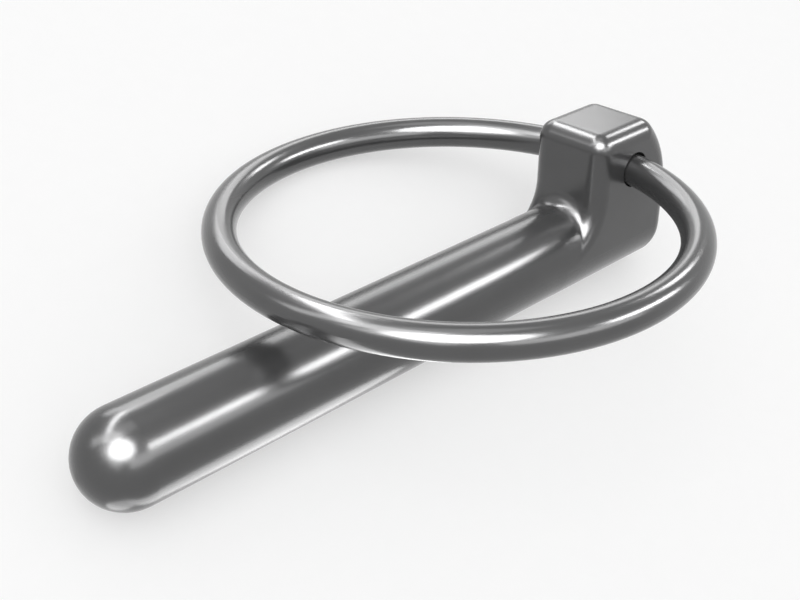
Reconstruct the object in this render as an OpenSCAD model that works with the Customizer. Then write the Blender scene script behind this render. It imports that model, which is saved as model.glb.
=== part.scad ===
// Lynch pin: a forged pin with a free spring-wire ring through its head.
// The origin is on the shank's axis where the finished shank starts, and +X runs along it to its tip.

/* [Shank] */
// Diameter of the round shank
shank_d = 6; // [5:0.1:8]
// Length of the finished shank, with its domed tip
shank_len = 35.75; // [30:0.05:80]
// Taper between the forged head and the finished shank
run_out = 1; // [0.6:0.1:3]

/* [Head] */
// How far the forged head stands proud of the finished shank
head_step = 0.02; // [0.01:0.01:0.2]
// Front face of the head, from the bore's axis
head_front = 4; // [3.5:0.05:8]
// Back face of the head, from the bore's axis
head_back = 4.55; // [3.8:0.05:6.5]
// Flat top of the head, above the shank's axis
head_top = 8.55; // [8:0.05:16]
// Rounding of the head's edges
edge_r = 1.2; // [0.5:0.05:1.5]
// Radius of the head's curved upper back, seen from the side
crown_r = 7.6; // [7:0.1:12]
// Height of that curve, below the flat top
crown_drop = 5.85; // [4:0.05:6.5]
// Hollow sweep of the front face into the shank's flanks
flare_r = 2.8; // [2:0.1:4]
// Fillet between the front face and the top of the shank
neck_r = 1; // [0.5:0.1:1.2]
// Spread of that fillet to either side of the shank's top, in degrees
neck_spread = 58; // [45:1:60]

/* [Ring] */
// Mean diameter of the wire ring
ring_d = 30.2; // [26:0.2:50]
// Diameter of the ring's spring wire
wire_d = 2.2; // [1.6:0.1:2.6]
// Gap between the wire's two ends, hidden in the bore
end_gap = 4; // [0.2:0.1:4.5]

/* [Bore] */
// Height of the bore's axis above the shank's axis
bore_h = 5.45; // [5:0.05:9]
// Play of the wire in the bore, between their diameters
bore_play = 0.15; // [0.15:0.05:0.6]

/* [Hidden] */
$fn = 72;

shank_r = shank_d / 2;
wire_r = wire_d / 2;
ring_r = ring_d / 2;

// The head is built about the bore: X = 0 is the bore's axis there, and Z = 0 the shank's axis
half_w = shank_r + head_step;
front_x = head_front - edge_r;
flare_x = head_front + flare_r;
flare_h = flare_r + edge_r;
seat_x = flare_x + run_out;
dome_x = seat_x + shank_len - shank_r;
rim_z = head_top - edge_r;

// The crown starts level with its centre and ends at the rounded edge of the flat top
crown_x = crown_r - head_back;
crown_z = head_top - crown_drop;
crown_sweep = asin((crown_drop - edge_r) / (crown_r - edge_r));
brow_x = crown_x - (crown_r - edge_r) * cos(crown_sweep);

// A round cap clears the neck's fillet at the shank's top and trims it to nothing at its spread
neck_h = half_w + neck_r;
cap_h = neck_h + edge_r / 4;
cap_z = (cap_h * cap_h - half_w * half_w) / (cap_h - half_w * cos(neck_spread)) / 2;
cap_r = cap_h - cap_z;

// The curved wire bows by this much between its ends in the straight bore and the bore's mouths
end_x = sqrt(ring_r * ring_r - end_gap * end_gap / 4);
mouth_x = sqrt(ring_r * ring_r - half_w * half_w);
wire_bow = end_x - mouth_x;
ring_x = (end_x + mouth_x) / 2;
bore_r = (wire_d + wire_bow + bore_play) / 2;
gap_angle = 2 * asin(end_gap / ring_d);

// Laid down with the ring along the shank, the part rests on the shank and on one side of the ring
lean = acos((wire_r - half_w) / norm([bore_h, ring_r])) - atan2(ring_r, bore_h);

// Section of the head at a rounded border, from X = 0 out to the border, with Y across the head
module border(depth) {
    flat_w = half_w - edge_r;
    core = depth - edge_r;
    translate([0, -flat_w])
        square([depth, 2 * flat_w]);
    intersection() {
        for (side = [-1, 1])
            translate([core, side * flat_w])
                circle(r = edge_r);
        translate([core, -half_w])
            square([edge_r, 2 * half_w]);
    }
    if (core > 0)
        translate([0, -half_w])
            square([core, 2 * half_w]);
}

// Turn of a section about an axis across the head, by sweep degrees from angle a, seen from the side
module turn(x, z, a, sweep) {
    translate([x, 0, z])
        rotate([90, 0, 0])
            rotate([0, 0, a])
                rotate_extrude(angle = sweep)
                    children();
}

// Straight borders of the head: its top with the body below, its back and its front
module straight_borders() {
    translate([front_x, 0, flare_h])
        rotate([0, -90, 0])
            linear_extrude(front_x - brow_x)
                border(head_top - flare_h);
    mirror([1, 0, 0])
        linear_extrude(crown_z)
            border(head_back);
    translate([front_x, 0, flare_h])
        linear_extrude(rim_z - flare_h)
            border(edge_r);
}

module front_corner() {
    turn(front_x, rim_z, 0, 90)
        border(edge_r);
}

// Curved upper back and the edge it shares with the flat top
module crown() {
    mirror([1, 0, 0])
        turn(-crown_x, crown_z, 0, crown_sweep)
            translate([crown_x, 0])
                border(head_back);
    turn(brow_x, rim_z, 90, 90 - crown_sweep)
        border(edge_r);
}

// The front face sweeps forward to the shank, and its rounded edges fade out on the flanks
module flare() {
    turn(flare_x, flare_h, 180, 90)
        translate([flare_h, 0])
            mirror([1, 0])
                border(edge_r);
    translate([0, half_w, 0])
        rotate([90, 0, 0])
            linear_extrude(2 * half_w)
                difference() {
                    square([flare_x, flare_h]);
                    translate([flare_x, flare_h])
                        circle(r = flare_h);
                }
}

// Fillet over the top of the shank, which dies out in the flare on either side
module neck() {
    intersection() {
        rotate([0, 90, 0])
            rotate([0, 0, 180 - neck_spread])
                rotate_extrude(angle = 2 * neck_spread)
                    difference() {
                        translate([half_w - edge_r, front_x])
                            square([edge_r + neck_r, edge_r + neck_r]);
                        translate([neck_h, head_front + neck_r])
                            circle(r = neck_r);
                    }
        translate([front_x, 0, cap_z])
            rotate([0, 90, 0])
                cylinder(r = cap_r, h = edge_r + neck_r);
    }
}

// Round underside of the head with its rounded back rim
module belly_profile() {
    translate([0, -head_back])
        square([half_w - edge_r, edge_r]);
    intersection() {
        translate([half_w - edge_r, edge_r - head_back])
            circle(r = edge_r);
        translate([half_w - edge_r, -head_back])
            square([edge_r, edge_r]);
    }
    translate([0, edge_r - head_back])
        square([half_w, flare_x + head_back - edge_r]);
}

// Taper, finished shank and domed tip
module shank_profile() {
    polygon([[0, flare_x], [half_w, flare_x], [shank_r, seat_x], [shank_r, dome_x], [0, dome_x]]);
    intersection() {
        translate([0, dome_x])
            circle(r = shank_r);
        translate([0, dome_x])
            square([shank_r, shank_r]);
    }
}

module shank() {
    rotate([0, 90, 0])
        rotate_extrude() {
            belly_profile();
            shank_profile();
        }
}

module bore() {
    translate([0, half_w + edge_r, bore_h])
        rotate([90, 0, 0])
            cylinder(r = bore_r, h = 2 * (half_w + edge_r));
}

// From the head's own frame to the part's, lying on the floor
module laid() {
    rotate([lean, 0, 0])
        translate([-seat_x, 0, 0])
            children();
}

module pin() {
    color("dimgray")
        laid()
            difference() {
                union() {
                    shank();
                    straight_borders();
                    front_corner();
                    crown();
                    flare();
                    neck();
                }
                bore();
            }
}

// Open ring of round wire, its ends facing each other in the bore
module ring() {
    color("gray")
        laid()
            translate([ring_x, 0, bore_h])
                rotate([0, 0, 180 + gap_angle / 2])
                    rotate_extrude(angle = 360 - gap_angle)
                        translate([ring_r, 0])
                            circle(r = wire_r);
}

pin();
ring();
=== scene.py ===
import math
import bmesh
import bpy
from mathutils import Matrix, Vector


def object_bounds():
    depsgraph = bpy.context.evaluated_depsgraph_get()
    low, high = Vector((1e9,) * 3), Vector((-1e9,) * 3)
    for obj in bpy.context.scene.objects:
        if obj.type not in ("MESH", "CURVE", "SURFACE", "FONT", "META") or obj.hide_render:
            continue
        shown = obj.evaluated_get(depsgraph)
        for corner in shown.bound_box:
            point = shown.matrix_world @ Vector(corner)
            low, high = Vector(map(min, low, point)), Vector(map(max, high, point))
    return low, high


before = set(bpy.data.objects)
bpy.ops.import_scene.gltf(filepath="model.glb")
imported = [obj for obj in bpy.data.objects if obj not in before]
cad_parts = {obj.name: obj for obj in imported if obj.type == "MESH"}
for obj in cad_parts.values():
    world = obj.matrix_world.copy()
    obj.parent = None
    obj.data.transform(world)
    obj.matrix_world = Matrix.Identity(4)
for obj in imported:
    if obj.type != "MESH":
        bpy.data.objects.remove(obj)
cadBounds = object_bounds()
scene = bpy.context.scene
print("frame loaded:", sorted(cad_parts))


# Shader helpers

def addNode(tree, kind, place, **values):
    node = tree.nodes.new(kind)
    node.location = place
    for key, value in values.items():
        if key in node.inputs:
            node.inputs[key].default_value = value
        else:
            setattr(node, key, value)
    return node


def link(tree, source, target):
    tree.links.new(source, target)


def addRange(tree, place, source, toSpan, fromSpan=(0.0, 1.0), **values):
    node = addNode(tree, "ShaderNodeMapRange", place, **values)
    for label, span in (("From", fromSpan), ("To", toSpan)):
        node.inputs[label + " Min"].default_value = span[0]
        node.inputs[label + " Max"].default_value = span[1]
    link(tree, source, node.inputs["Value"])
    return node


def addNoise(tree, place, scale, detail):
    coords = addNode(tree, "ShaderNodeTexCoord", (place[0] - 200, place[1]))
    noise = addNode(tree, "ShaderNodeTexNoise", place, Scale=scale, Detail=detail)
    link(tree, coords.outputs["Object"], noise.inputs["Vector"])
    return noise.outputs["Fac"]


def addSum(tree, place, first, second):
    node = addNode(tree, "ShaderNodeMath", place, operation="ADD")
    link(tree, first, node.inputs[0])
    link(tree, second, node.inputs[1])
    return node.outputs["Value"]


def newGroup(name, inputs, outputs):
    group = bpy.data.node_groups.new(name, "ShaderNodeTree")
    for label, kind, value in inputs:
        socket = group.interface.new_socket(label, in_out="INPUT", socket_type=kind)
        socket.default_value = value
    for label, kind in outputs:
        group.interface.new_socket(label, in_out="OUTPUT", socket_type=kind)
    source = addNode(group, "NodeGroupInput", (-900, 0))
    target = addNode(group, "NodeGroupOutput", (900, 0))
    return group, source, target


def newMaterial(name):
    material = bpy.data.materials.new(name)
    material.use_nodes = True
    tree = material.node_tree
    return material, tree, tree.nodes["Principled BSDF"]


# Polished steel: a colour, a roughness and a normal that vary over the surface

grainSpec = {
    "fine": {"scale": 9000.0, "detail": 2.0},
    "broad": {"scale": 260.0, "detail": 3.0},
    "noiseSpan": (0.3, 0.7),  # most of a noise lies in it
    "shade": (0.94, 1.04),  # darkest and lightest part of the tone
    "waveHeight": 0.00002,
    "wearSamples": 8,
}


def makeSteelGrain(spec):
    group, source, target = newGroup(
        "steelGrain",
        [
            ("Tone", "NodeSocketColor", (0.1, 0.1, 0.1, 1)),
            ("Roughness", "NodeSocketFloat", 0.2),
            ("Grain", "NodeSocketFloat", 0.02),
            ("Waviness", "NodeSocketFloat", 0.3),
            ("Wear", "NodeSocketFloat", 0.0),
        ],
        [("Color", "NodeSocketColor"), ("Roughness", "NodeSocketFloat"), ("Normal", "NodeSocketVector")],
    )
    fine = addNoise(group, (-600, 300), **spec["fine"])
    broad = addNoise(group, (-600, 0), **spec["broad"])
    speckle = addRange(group, (-300, 300), fine, (-1.0, 1.0), spec["noiseSpan"])
    rough = addNode(group, "ShaderNodeMath", (0, 300), operation="MULTIPLY_ADD")
    link(group, speckle.outputs["Result"], rough.inputs[0])
    link(group, source.outputs["Grain"], rough.inputs[1])
    link(group, source.outputs["Roughness"], rough.inputs[2])
    shade = addRange(group, (0, 0), broad, spec["shade"], spec["noiseSpan"])
    colour = addNode(group, "ShaderNodeVectorMath", (300, 0), operation="SCALE")
    link(group, source.outputs["Tone"], colour.inputs[0])
    link(group, shade.outputs["Result"], colour.inputs["Scale"])
    worn = addNode(group, "ShaderNodeBevel", (0, -450), samples=spec["wearSamples"])  # polished edges
    link(group, source.outputs["Wear"], worn.inputs["Radius"])
    bump = addNode(group, "ShaderNodeBump", (300, -300), Distance=spec["waveHeight"])
    link(group, source.outputs["Waviness"], bump.inputs["Strength"])
    link(group, broad, bump.inputs["Height"])
    link(group, worn.outputs["Normal"], bump.inputs["Normal"])
    link(group, colour.outputs["Vector"], target.inputs["Color"])
    link(group, rough.outputs["Value"], target.inputs["Roughness"])
    link(group, bump.outputs["Normal"], target.inputs["Normal"])
    return group


steelGrain = makeSteelGrain(grainSpec)


# Radius of the worn edges, which grows in steps along the shank
def growWear(tree, wear, target):
    coords = addNode(tree, "ShaderNodeTexCoord", (-1400, 0))
    split = addNode(tree, "ShaderNodeSeparateXYZ", (-1200, 0))
    link(tree, coords.outputs["Object"], split.inputs["Vector"])
    along = split.outputs["X"]
    radius = None
    for index, step in enumerate(wear["steps"]):
        place = (-1000 + 200 * index, 0)
        span = (wear["start"], step["radius"])
        grow = addRange(tree, place, along, span, step["along"], interpolation_type="SMOOTHSTEP")
        if radius:
            link(tree, radius, grow.inputs["To Min"])
        radius = grow.outputs["Result"]
    link(tree, radius, target)


def setSteel(node, name, spec):
    material, tree, shader = newMaterial(name)
    shader.inputs["Metallic"].default_value = spec["metal"]
    grain = addNode(tree, "ShaderNodeGroup", (-400, 200), node_tree=steelGrain)
    for key, value in spec["grain"].items():
        grain.inputs[key].default_value = value
    if "wear" in spec:
        growWear(tree, spec["wear"], grain.inputs["Wear"])
    link(tree, grain.outputs["Color"], shader.inputs["Base Color"])
    link(tree, grain.outputs["Roughness"], shader.inputs["Roughness"])
    link(tree, grain.outputs["Normal"], shader.inputs["Normal"])
    node.data.materials.clear()
    node.data.materials.append(material)


# Pin

pinSpec = {
    "metal": 0.5,  # the rest is a dull film of oil and oxide
    "grain": {"Tone": (0.08, 0.08, 0.081, 1), "Roughness": 0.24, "Grain": 0.02, "Waviness": 0.3},
    "wear": {
        "start": 0.0001,  # the bore's rim stays crisp
        "steps": [
            {"along": (-0.0058, -0.0044), "radius": 0.0003},  # the neck under the head
            {"along": (0.0342, 0.035), "radius": 0.0008},  # the tip of the dome
        ],
    },
}
setSteel(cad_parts["pin"], "pinSteel", pinSpec)

# Ring

ringSpec = {
    "metal": 0.5,
    "grain": {"Tone": (0.09, 0.09, 0.091, 1), "Roughness": 0.2, "Grain": 0.02, "Waviness": 0.3},
}
setSteel(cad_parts["ring"], "ringSteel", ringSpec)
print("steel set")

# Floor

floorSpec = {
    "half": 3.0,
    "drop": 0.00001,  # just clear of the part
    "tone": (0.94, 0.94, 0.94),
    "roughness": 0.9,
    "gloss": 0.0,
    "speckle": (0.98, 1.02),
    "noise": {"scale": 700.0, "detail": 3.0},
    "white": 1.0,  # the room's white
    "glare": 0.5,  # share of that white that the camera sees, so that a light shadow stays
}


def makeFloor(spec):
    mesh = bpy.data.meshes.new("floor")
    work = bmesh.new()
    bmesh.ops.create_grid(work, x_segments=1, y_segments=1, size=spec["half"])
    bmesh.ops.translate(work, verts=work.verts, vec=(0, 0, cadBounds[0].z - spec["drop"]))
    work.to_mesh(mesh)
    work.free()
    floor = bpy.data.objects.new("floor", mesh)
    scene.collection.objects.link(floor)
    material, tree, shader = newMaterial("floorPaper")
    shader.inputs["Roughness"].default_value = spec["roughness"]
    shader.inputs["Specular IOR Level"].default_value = spec["gloss"]
    noise = addNoise(tree, (-700, 0), **spec["noise"])
    speckle = addRange(tree, (-500, 0), noise, spec["speckle"])
    colour = addNode(tree, "ShaderNodeVectorMath", (-300, 0), operation="SCALE")
    colour.inputs[0].default_value = spec["tone"]
    link(tree, speckle.outputs["Result"], colour.inputs["Scale"])
    link(tree, colour.outputs["Vector"], shader.inputs["Base Color"])
    rays = addNode(tree, "ShaderNodeLightPath", (-300, 500)).outputs
    mirrored = addSum(tree, (-100, 400), rays["Is Glossy Ray"], rays["Is Transmission Ray"])
    share = addNode(tree, "ShaderNodeMath", (100, 500), operation="MULTIPLY_ADD")
    link(tree, rays["Is Camera Ray"], share.inputs[0])
    share.inputs[1].default_value = spec["glare"]
    link(tree, mirrored, share.inputs[2])
    white = addNode(tree, "ShaderNodeEmission", (0, -400), Strength=spec["white"])
    mix = addNode(tree, "ShaderNodeMixShader", (300, 200))
    link(tree, share.outputs["Value"], mix.inputs["Fac"])
    link(tree, shader.outputs["BSDF"], mix.inputs[1])
    link(tree, white.outputs["Emission"], mix.inputs[2])
    link(tree, mix.outputs["Shader"], tree.nodes["Material Output"].inputs["Surface"])
    mesh.materials.append(material)


makeFloor(floorSpec)
print("floor set")


# A lamp and the camera look along their own -Z
def standAt(thing, spot, right, up, back):
    turn = Matrix((right, up, back)).transposed()
    thing.matrix_world = Matrix.Translation(spot) @ turn.to_4x4()


# Lights: a soft fill, and cards that only show in the steel
# aim is the azimuth and elevation from the part's middle, size is as seen from there, all in degrees

lightMiddle = Vector((0.008, 0.0, 0.003))
fillSpecs = {
    "softFill": {"aim": (5, 62), "roll": 0, "size": (50, 50), "far": 0.9, "glow": 1.0},
}
cardSpecs = {
    "keyCard": {"aim": (10, 61), "roll": -45, "size": (53, 44), "far": 0.6, "glow": 20.0, "round": True},
    "underKey": {"aim": (3, 35), "roll": 0, "size": (52, 15), "far": 0.61, "glow": 3.2},
    "leftCard": {"aim": (-90, 34), "roll": -27, "size": (52, 6.5), "far": 0.6, "glow": 24.0},
    "frontCard": {"aim": (-44, 28), "roll": 0, "size": (15, 34), "far": 0.61, "glow": 4.2},
    "lowCard": {"aim": (-106, 7), "roll": 0, "size": (24, 13), "far": 0.61, "glow": 5.0},
    "rightCard": {"aim": (150, 46), "roll": 45, "size": (34, 10), "far": 0.6, "glow": 24.0},
    "sideCard": {"aim": (95, 47), "roll": 0, "size": (60, 20), "far": 0.62, "glow": 3.6},
    "upperCard": {"aim": (-88, 62), "roll": 0, "size": (40, 22), "far": 0.62, "glow": 1.8},
    "hazeCard": {"aim": (-46, 52), "roll": 0, "size": (22, 34), "far": 0.63, "glow": 6.0},
    "backSpot": {"aim": (-158, 30), "roll": 0, "size": (11, 11), "far": 0.6, "glow": 17.0},
    "backCard": {"aim": (-129, 11), "roll": 0, "size": (24, 18), "far": 0.62, "glow": 3.7},
}


def addLamp(name, wide, high, spec):
    light = bpy.data.lights.new(name, "AREA")
    light.size, light.size_y = wide, high
    area = wide * high
    light.shape = "RECTANGLE"
    if spec.get("round"):
        light.shape = "ELLIPSE"
        area *= math.pi / 4
    light.energy = spec["glow"] * math.pi * area
    lamp = bpy.data.objects.new(name, light)
    scene.collection.objects.link(lamp)
    return lamp


def makeLight(name, spec):
    az, el, roll = (math.radians(angle) for angle in (*spec["aim"], spec["roll"]))
    wide, high = (2 * spec["far"] * math.tan(math.radians(angle / 2)) for angle in spec["size"])
    lamp = addLamp(name, wide, high, spec)
    out = Vector((math.cos(el) * math.cos(az), math.cos(el) * math.sin(az), math.sin(el)))
    side = Vector((0, 0, 1)).cross(out).normalized()
    up = out.cross(side)
    wideAxis = side * math.cos(roll) - up * math.sin(roll)
    highAxis = up * math.cos(roll) + side * math.sin(roll)
    standAt(lamp, lightMiddle + out * spec["far"], wideAxis, highAxis, out)
    return lamp


for lightName, lightSpec in fillSpecs.items():
    makeLight(lightName, lightSpec).visible_glossy = False
for lightName, lightSpec in cardSpecs.items():
    makeLight(lightName, lightSpec).visible_diffuse = False

# Reflectors that lie on the floor beside the shank and its tip, and only show in the steel

stripLift = 0.00015
stripSpecs = {
    "shankStrip": {"middle": (0.0235, 0.0056), "size": (0.024, 0.0042), "glow": 3.4, "round": True},
    "tipStrip": {"middle": (0.0353, 0.0043), "size": (0.0024, 0.0046), "glow": 2.4, "round": True},
}


def makeStrip(name, spec):
    lamp = addLamp(name, *spec["size"], spec)
    lamp.visible_diffuse = False
    lamp.location = (*spec["middle"], cadBounds[0].z + stripLift)
    lamp.rotation_euler = (math.pi, 0, 0)  # facing up


for stripName, stripSpec in stripSpecs.items():
    makeStrip(stripName, stripSpec)

# White room round the part, plain light for matt surfaces and white to the camera and to the steel

roomSpec = {"tint": (1, 1, 1, 1), "plain": 0.8, "white": 1.0}


def makeRoom(spec):
    world = bpy.data.worlds.new("whiteRoom")
    scene.world = world
    world.use_nodes = True
    tree = world.node_tree
    background = tree.nodes["Background"]
    background.inputs["Color"].default_value = spec["tint"]
    rays = addNode(tree, "ShaderNodeLightPath", (-900, 0)).outputs
    seen = addSum(tree, (-600, 100), rays["Is Camera Ray"], rays["Is Glossy Ray"])
    shown = addSum(tree, (-400, 100), seen, rays["Is Transmission Ray"])
    strength = addRange(tree, (-200, 100), shown, (spec["plain"], spec["white"]))
    link(tree, strength.outputs["Result"], background.inputs["Strength"])


makeRoom(roomSpec)
print("lights set")

# Camera

cameraSpec = {
    "place": (0.06144, 0.025765, 0.058322),
    "right": (-0.71029, 0.62499, 0.32383),
    "forward": (-0.61729, -0.33194, -0.71328),
    "lens": 57.18,
    "sensor": 36.0,
    "clip": (0.002, 20.0),
}


def makeCamera(spec):
    data = bpy.data.cameras.new("camera")
    data.lens = spec["lens"]
    data.sensor_width = spec["sensor"]
    data.clip_start, data.clip_end = spec["clip"]
    data.dof.use_dof = False
    camera = bpy.data.objects.new("camera", data)
    scene.collection.objects.link(camera)
    back = -Vector(spec["forward"]).normalized()
    up = back.cross(Vector(spec["right"])).normalized()
    standAt(camera, Vector(spec["place"]), up.cross(back), up, back)
    scene.camera = camera


makeCamera(cameraSpec)
scene.view_settings.view_transform = "Standard"
print("camera set")
